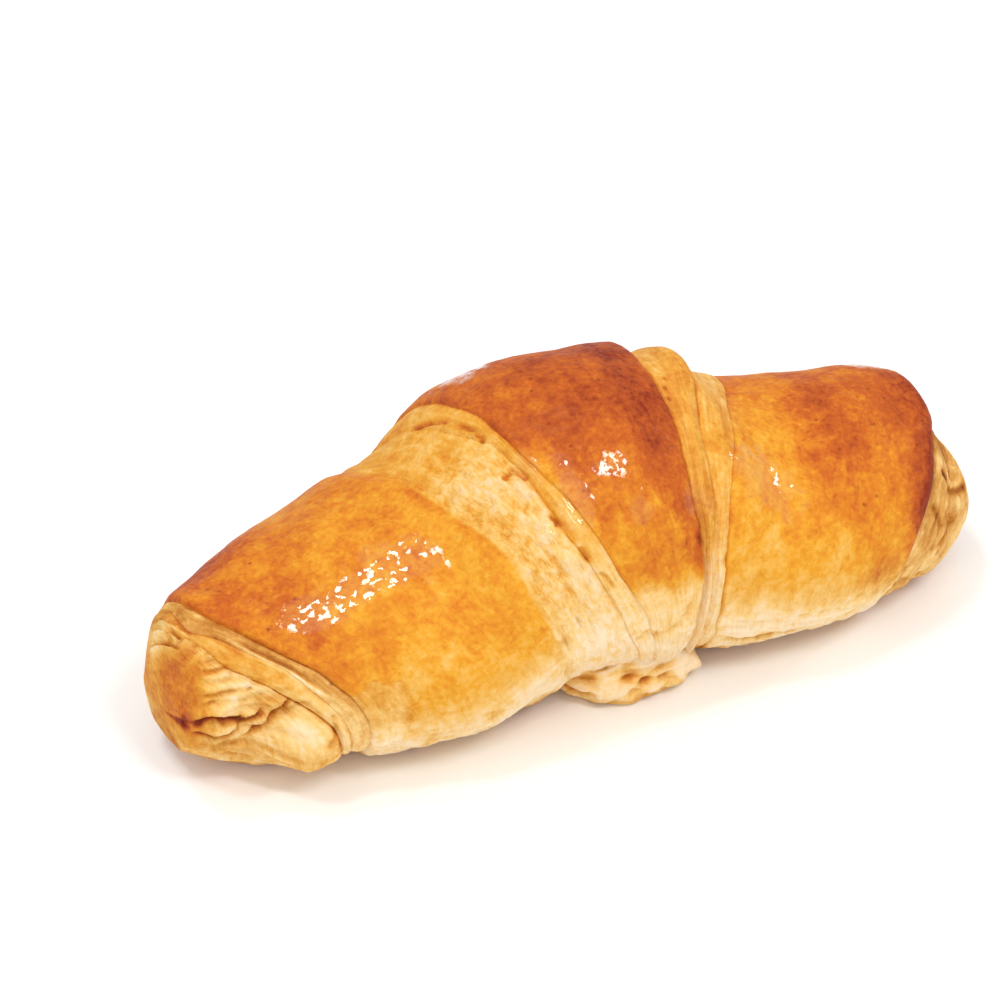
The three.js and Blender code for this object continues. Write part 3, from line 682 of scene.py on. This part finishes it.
def bake_fields(roll, pale, fold_shade_and_tone):
    """How far each point is baked, with painted shade in its hollows, grooves and creases, how dry it is and
    how much wash lies on it.
    """
    along, zone, base = roll["along"], roll["zone"], roll["base"]
    around = signed_turn(roll["turn"])
    wander = noise(along / 6, 0, zone * 3.0, 51) + 0.5 * noise(along / 2, 0, zone * 3.0, 52)
    wavering = around + PALE_LINE * wander
    bake_and_shade = by_zone(zone, wavering, ZONE_BAKE, [FAR_BAKE])
    dry = by_zone(zone, wavering, ZONE_DRY)
    under = np.abs(around)
    bake_and_shade = np.where(under > UNDERSIDE[0][0], through(UNDERSIDE, under)[0], bake_and_shade)
    for k, places in BAKE_SPOTS.items():
        bake_and_shade = bake_and_shade + np.where(zone == k, spots(along, around, places), 0)
    for at, at_turn, radius, browner, drier in KNOBS:
        centre = roll_point(np.array([at]), np.array([float(at_turn)]), 0.0)[0]
        knob = np.clip(1 - (np.linalg.norm(base - centre, axis=-1) / radius) ** 2, 0, 1)
        bake_and_shade = bake_and_shade + browner * knob
        dry = dry + drier * knob
    missed = bare_patch(along, around) * (zone == LEFT_SHOULDER)
    bake_and_shade = bake_and_shade + PATCH_RIM["bake_and_shade"] * missed + PATCH_RIM["browned"] * missed * (1 - missed)
    dry = dry + PATCH_RIM["dry"] * missed
    mottle = sum(amount * lumpy(base, size, seed) for amount, size, seed in MOTTLE)
    # The relief's paling, the folds and the creases add painted shade to the bake here.
    bake_and_shade = bake_and_shade + mottle - pale + fold_shade_and_tone + CREASE_SHADE * roll["crease"]
    thick = spots(along, around, WASH_THICK)
    thick = thick + WASH["waver"] * lumpy(base, WASH["size"], 56) * smoothstep(*WASH["near"], thick)
    wash = WASH["thin"] + (1 - WASH["thin"]) * smoothstep(*WASH["edge"], thick)
    return np.clip(bake_and_shade, 0, 1.1), np.clip(dry, 0, 1), wash


# ---- Materials

def linear(red, green, blue):
    """A colour given as 0 to 255, for a shader."""
    def one(v):
        v = v / 255
        return v / 12.92 if v <= 0.04045 else ((v + 0.055) / 1.055) ** 2.4
    return (one(red), one(green), one(blue), 1)


# The colours of glazed and of bare dough: (bake, colour).
GLAZED = [
    (0, (234, 200, 150)), (0.2, (238, 188, 102)), (0.4, (230, 162, 50)), (0.55, (218, 133, 40)),
    (0.72, (196, 98, 37)), (0.88, (168, 74, 35)), (1, (138, 50, 28)),
]
BARE = [
    (0, (251, 229, 194)), (0.22, (244, 205, 134)), (0.42, (218, 162, 87)), (0.6, (187, 123, 53)),
    (0.8, (156, 87, 40)), (1, (102, 48, 26)),
]
SPECK_COLOUR = (116, 46, 26)


class Nodes:
    """Short calls for building a material's node tree."""

    def __init__(self, material):
        material.use_nodes = True
        self.tree = material.node_tree
        self.tree.nodes.clear()

    def add(self, kind, inputs=None, **settings):
        node = self.tree.nodes.new("ShaderNode" + kind)
        for key, value in settings.items():
            setattr(node, key, value)
        for socket, value in (inputs or {}).items():
            if isinstance(value, bpy.types.NodeSocket):
                self.tree.links.new(value, node.inputs[socket])
            else:
                node.inputs[socket].default_value = value
        return node

    def math(self, operation, first, *others):
        """The operation on the first two values, then on the result and each further one."""
        for other in others:
            first = self.add("Math", {0: first, 1: other}, operation=operation).outputs[0]
        return first

    def vector(self, operation, *values):
        return self.add("VectorMath", dict(enumerate(values)), operation=operation).outputs[0]

    def spread(self, value, low, high, top=1.0):
        """The value from 0 to top made into one from low to high."""
        inputs = {"Value": value, "From Max": top, "To Min": low, "To Max": high}
        return self.add("MapRange", inputs).outputs["Result"]

    def centred(self, values, amounts):
        """Noise values of about 0.5, each made into one of about 0 and so large, and their sum."""
        return self.math("ADD", *(self.spread(v, -a, a) for v, a in zip(values, amounts)))

    def noise(self, vector, look, output="Fac"):
        inputs = dict(zip(("Scale", "Detail", "Roughness", "Distortion"), look), Vector=vector)
        return self.add("TexNoise", inputs).outputs[output]

    def ramp(self, factor, stops):
        node = self.add("ValToRGB", {"Fac": factor})
        elements = node.color_ramp.elements
        while len(elements) < len(stops):
            elements.new(0.5)
        for element, (place, colour) in zip(elements, stops):
            element.position = place
            element.color = linear(*colour)
        return node.outputs["Color"]

    def mix(self, factor, a, b):
        return self.add("Mix", {0: factor, 6: a, 7: b}, data_type="RGBA").outputs[2]


BLACK, WHITE = (0, 0, 0), (255, 255, 255)
# Each noise: scale, detail, roughness and distortion. The scale is to a metre, or to a unit of the grain.
SCALE_WARP, FIBRES = (1.1, 4, 0.5, 0), (1, 4, 0.6, 0.4)
PATCHES, STROKES, SPECKLES = (120, 2, 0.5, 0.6), (380, 4, 0.65, 0.8), (1100, 2, 0.6, 0)
SPECK_PATCHES, DIMPLES, PORES = (210, 1, 0.55, 0), (430, 1, 0.5, 0), (1500, 1, 0.5, 0)
FLECK_WARP = (900, 1, 0.5, 0)
# How far patches, strokes, speckles and fibres change the bake of glazed dough, and the last three of bare.
GLAZED_VARIES = (0.14, 0.24, 0.14, 0.12)
BARE_VARIES = (0.16, 0.1, 0.3)
SCALE_SHAPE = (0.8, 2.0, 2.0)  # scales of torn dough to a unit of the grain
SCALE_BEND = 2.6  # how far their outlines are warped
SPECK_SCALE = 420.0  # specks to a metre
BUMP_HEIGHT = 0.0005  # of the dimples and of the grain, in metres
FLECK_SCALE = 1000.0  # flecks of dried wash to a metre
FLECK_BEND = 0.0012  # how far their outlines are warped, in metres
FLECK_TILT = 0.17  # the spread of their slopes


def crust_material():
    material = bpy.data.materials.new("baked_crust")
    n = Nodes(material)
    place = n.add("TexCoord").outputs["Object"]
    # bake: the browning, with the painted shade of hollows, grooves and creases in it.
    bake_and_shade, dry, torn, wash = (n.add("Attribute", attribute_name=name).outputs["Fac"]
                             for name in ("bake_and_shade", "dry", "torn", "wash"))
    grain = n.add("Attribute", attribute_name="grain").outputs["Vector"]

    # Torn dough breaks up into small scales with thin darker lines between them, partly browning and partly
    # painted shade in the gaps.
    shaped = n.vector("MULTIPLY", grain, SCALE_SHAPE)
    scale_place = n.vector("MULTIPLY_ADD", n.noise(grain, SCALE_WARP, "Color"), (SCALE_BEND,) * 3, shaped)
    scales = n.add("TexVoronoi", {"Vector": scale_place, "Scale": 1.0}, feature="DISTANCE_TO_EDGE")
    rim = scales.outputs["Distance"]
    torn_line = n.math("MULTIPLY", n.spread(rim, 0.15, 0.0, 0.16), torn)
    swell = n.math("MULTIPLY", n.spread(rim, 0.0, 0.08, 0.4), torn)

    # Browning: broad patches, short strokes as of a brush, fine speckles and streaks along the roll.
    fibre = n.noise(grain, FIBRES)
    browning = [n.noise(place, look) for look in (PATCHES, STROKES, SPECKLES)] + [fibre]
    glazed = n.math("ADD", bake_and_shade, n.centred(browning, GLAZED_VARIES), torn_line)
    bare = n.math("ADD", bake_and_shade, n.centred(browning[1:], BARE_VARIES), torn_line)
    colour = n.mix(dry, n.ramp(glazed, GLAZED), n.ramp(bare, BARE))

    # Small dark specks, most of them where the crust is brown.
    cells = n.add("TexVoronoi", {"Vector": place, "Scale": SPECK_SCALE}).outputs["Distance"]
    dot = n.ramp(cells, [(0.09, WHITE), (0.21, BLACK)])
    patchy = n.math("ADD", bake_and_shade, n.centred([n.noise(place, SPECK_PATCHES)], [0.9]))
    brown = n.ramp(patchy, [(0.62, BLACK), (0.9, WHITE)])
    colour = n.mix(n.math("MULTIPLY", dot, brown, 0.6), colour, linear(*SPECK_COLOUR))

    # Dimples in the glaze, and the torn grain of the bare dough.
    pore = n.math("MULTIPLY", n.noise(place, PORES), 0.3)
    flaky = n.math("MULTIPLY", fibre, dry, 0.45)
    height = n.math("ADD", n.noise(place, DIMPLES), pore, flaky, swell)
    bump = n.add("Bump", {"Strength": 1.0, "Distance": BUMP_HEIGHT, "Height": height}).outputs["Normal"]

    # The dried wash glints in small flat flecks, each tilted its own way.
    bend = n.noise(place, FLECK_WARP, "Color")
    fleck_place = n.vector("MULTIPLY_ADD", bend, (FLECK_BEND,) * 3, place)
    fleck = n.add("TexVoronoi", {"Vector": fleck_place, "Scale": FLECK_SCALE}).outputs["Color"]
    tilt = n.vector("MULTIPLY_ADD", fleck, (FLECK_TILT,) * 3, (-FLECK_TILT / 2,) * 3)
    upright = n.add("NewGeometry").outputs["Normal"]
    fleck_normal = n.vector("NORMALIZE", n.vector("ADD", upright, tilt))

    shader = n.add("BsdfPrincipled", {
        "Base Color": colour, "Normal": bump, "Roughness": n.spread(dry, 0.5, 0.75),
        "Specular IOR Level": 0.04, "Coat Weight": n.math("MULTIPLY", n.spread(dry, 1.0, 0.0, 0.8), wash),
        "Coat Normal": fleck_normal, "Coat Roughness": 0.04})
    n.add("OutputMaterial", {"Surface": shader.outputs["BSDF"]})
    return material


# ---- The pieces

def with_poles(values):
    """The values of the rings' points, and one more for each pole, the mean of the ring next to it."""
    flat = values.reshape(values.shape[0] * values.shape[1], -1)
    around = values.shape[1]
    return np.vstack([flat[:around].mean(axis=0), flat, flat[-around:].mean(axis=0)]).squeeze()


def put(name, data):
    """A new object in the scene."""
    new = bpy.data.objects.new(name, data)
    bpy.context.scene.collection.objects.link(new)
    return new


def add_dough(name, points, fields, material):
    """A closed piece of dough, from the points of its rings and poles, with what the material reads."""
    mesh = bpy.data.meshes.new(name)
    mesh.from_pydata((points * MM).tolist(), [], closed_faces(*fields["bake_and_shade"].shape))
    mesh.validate()
    for key, values in fields.items():
        values = with_poles(values)
        kind, target = ("FLOAT", "value") if values.ndim == 1 else ("FLOAT_VECTOR", "vector")
        layer = mesh.attributes.new(key, kind, "POINT")
        layer.data.foreach_set(target, values.astype(np.float32).ravel())
    mesh.polygons.foreach_set("use_smooth", [True] * len(mesh.polygons))
    mesh.materials.append(material)
    mesh.update()
    piece = put(name, mesh)
    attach(piece, "root")
    return piece


def make_crust(material):
    roll = roll_fields()
    along, turn = roll["along"], roll["turn"]
    flakes, pale, scaly = fine_relief(roll)
    folds, fold_shade_and_tone = fold_fields(roll)
    level = roll["level"] * smoothstep(0, 8, LENGTH / 2 - np.abs(along))
    out = level + swelling(along, turn) + spots(along, turn, PUFFS) + pleats(along, turn) + flakes + folds
    rings = roll_point(along, turn, out)
    tips = np.array([-LENGTH / 2, LENGTH / 2])
    poles = roll_point(tips, 90.0, -through(SECTIONS, tips)[1])
    points = np.vstack([poles[:1], rings.reshape(-1, 3), poles[1:]])
    bake_and_shade, dry, wash = bake_fields(roll, pale, fold_shade_and_tone)
    a = np.radians(turn)
    grain = np.stack([roll["grain"], GRAIN_ROUND * np.sin(a), GRAIN_ROUND * np.cos(a)], axis=-1)
    fields = {"bake_and_shade": bake_and_shade, "dry": dry, "wash": wash, "torn": scaly, "grain": grain}
    piece = add_dough("crust", points, fields, material)
    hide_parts("pastry")


# Lumps and hollows of the tongue: distance along it from its middle, turn round it, reaches and height.
TONGUE_LUMPS = [
    (8, 100, 7, 60, 1.8), (0.5, 57, 5, 20, 1.3), (-0.5, 57, 2.4, 9, -0.5), (6.6, 74, 3, 16, 1.1),
    (9.8, 98, 3, 16, 0.9), (-8.4, 98, 6, 22, 0.7), (-4.4, 76, 2.4, 8, -1.2), (-1.4, 88, 2.6, 8, -1.6),
    (2.8, 91, 2.4, 8, -1.3), (-10.6, 66, 2, 30, -0.6), (-13.4, 112, 2.5, 26, -1.2),
]
TONGUE_ROWS = 84
TONGUE_STEPS = 160


def make_tongue(material):
    """The squashed, lumpy point of the dough triangle, which rests on the tray in front of the crown."""
    polar = np.pi * (np.arange(1, TONGUE_ROWS) / TONGUE_ROWS)[:, None]
    turn = 2 * np.pi * (np.arange(TONGUE_STEPS) / TONGUE_STEPS)[None, :]
    lump = 1 + 0.06 * np.sin(3 * turn + 1) + 0.05 * np.sin(2 * polar + 2 * turn)
    half = TONGUE["half"]
    x = -half[0] * np.cos(polar) + 0 * turn
    y = -half[1] * np.sin(polar) * np.sin(turn) * lump
    z = half[2] * np.sin(polar) * np.cos(turn) * lump
    degrees = signed_turn(np.degrees(turn)) + 0 * x
    bent = z + 0.35 * y + 0.8 * noise(x / 5, y / 5, 0, 60)
    fold = ridged(x / 4, bent / 1.7, y / 6, 64)
    crinkle = 0.5 * noise(x / 2.2, bent / 1.3, y / 4, 62) + 0.3 * noise(x / 1.1, bent / 0.8, y / 2, 65)
    lumps = spots(x, degrees, TONGUE_LUMPS)
    puff = (lumps + 0.75 * fold + 0.6 * crinkle - 0.4) * smoothstep(0, 0.6, np.sin(polar))
    outward = unit(np.stack([x / half[0] ** 2, y / half[1] ** 2, z / half[2] ** 2], axis=-1))
    x, y, z = (v + puff * outward[..., i] for i, v in enumerate((x, y, z)))
    skew = math.radians(TONGUE["skew"])
    rings = spine_point(TONGUE["along"] + x * math.cos(skew) - y * math.sin(skew),
                        x * math.sin(skew) + y * math.cos(skew) - TONGUE["front"],
                        settled(TONGUE["up"] + z))
    # Paler on its lumps and crests and darker in its hollows, partly the dough's own colour and partly
    # painted shade; darker towards the bottom.
    bake_and_shade = (0.2 - 0.13 * lumps + 0.3 * np.maximum(-lumps, 0) - 0.18 * crinkle - 0.17 * fold
            + 0.12 * noise(x / 4, y / 4, z / 3, 63) + 0.22 * smoothstep(1, -4, z))
    even = np.ones_like(x)
    fields = {"bake_and_shade": np.clip(bake_and_shade, 0, 1), "dry": 0.7 * even, "wash": WASH["thin"] * even, "torn": 0.3 * even,
              "grain": np.stack([bent / 1.2, x / 5, y / 5], axis=-1)}
    add_dough("tongue", with_poles(rings), fields, material)


# ---- Camera, lights and floor

CAMERA_FOCUS = Vector((0.24, 0.226, 24.02)) * MM  # the point that the camera's axes are measured from
CAMERA_AZIMUTH = -22.86
CAMERA_ELEVATION = 38.0
CAMERA_DISTANCE = 427.7 * MM
CAMERA_LEFT = 12.92 * MM  # how far the camera stands to the left of and above the line to that point
CAMERA_UP = 3.94 * MM
CAMERA_LENS = 85.0


def direction(azimuth, elevation):
    a, e = math.radians(azimuth), math.radians(elevation)
    return Vector((math.sin(a) * math.cos(e), -math.cos(a) * math.cos(e), math.sin(e)))


def make_camera():
    data = bpy.data.cameras.new("camera")
    data.lens = CAMERA_LENS
    data.sensor_width = 36
    data.clip_start = 0.01
    camera = put("camera", data)
    back = direction(CAMERA_AZIMUTH, CAMERA_ELEVATION)
    right = Vector((math.cos(math.radians(CAMERA_AZIMUTH)), math.sin(math.radians(CAMERA_AZIMUTH)), 0))
    up = back.cross(right)
    camera.location = CAMERA_FOCUS + back * CAMERA_DISTANCE - right * CAMERA_LEFT + up * CAMERA_UP
    camera.rotation_euler = (math.radians(90 - CAMERA_ELEVATION), 0, math.radians(CAMERA_AZIMUTH))
    bpy.context.scene.camera = camera


# Each light: name, azimuth, elevation, distance, width, height and watts.
LIGHTS = [
    ("left_box", -96, 71, 0.9, 0.1, 0.17, 1.2),
    ("back_box", -150, 71, 0.9, 0.09, 0.14, 0.85),
    ("crown_box", 31, 54, 0.9, 0.11, 0.13, 1),
    ("hem_box", 22, 63, 0.9, 0.12, 0.15, 1.1),
    ("side_box", 87, 37, 0.9, 0.08, 0.1, 0.5),
    ("fill", -45, 44, 1.6, 2, 1.6, 4.7),
]
WORLD_STRENGTH = 0.66
FLOOR_SIZE = 3.0  # from the middle to a side


def make_lights():
    for name, azimuth, elevation, distance, width, height, watts in LIGHTS:
        data = bpy.data.lights.new(name, "AREA")
        data.shape = "RECTANGLE"
        data.size, data.size_y = width, height
        data.energy = watts
        light = put(name, data)
        away = direction(azimuth, elevation)
        light.location = away * distance
        light.rotation_euler = away.to_track_quat("Z", "Y").to_euler()
    world = bpy.data.worlds.new("studio")
    world.use_nodes = True
    background = world.node_tree.nodes["Background"]
    background.inputs["Color"].default_value = linear(*WHITE)
    background.inputs["Strength"].default_value = WORLD_STRENGTH
    bpy.context.scene.world = world
    bpy.context.scene.view_settings.view_transform = "Standard"


def make_floor():
    material = bpy.data.materials.new("pale_floor")
    n = Nodes(material)
    shader = n.add("BsdfPrincipled", {"Base Color": (0.97, 0.97, 0.97, 1), "Roughness": 0.9,
                                      "Specular IOR Level": 0.1})
    n.add("OutputMaterial", {"Surface": shader.outputs["BSDF"]})
    mesh = bpy.data.meshes.new("floor")
    corners = [(-1, -1, 0), (1, -1, 0), (1, 1, 0), (-1, 1, 0)]
    mesh.from_pydata([Vector(corner) * FLOOR_SIZE for corner in corners], [], [(0, 1, 2, 3)])
    mesh.materials.append(material)
    put("floor", mesh)


crust = crust_material()
make_crust(crust)
make_tongue(crust)
make_camera()
make_lights()
make_floor()
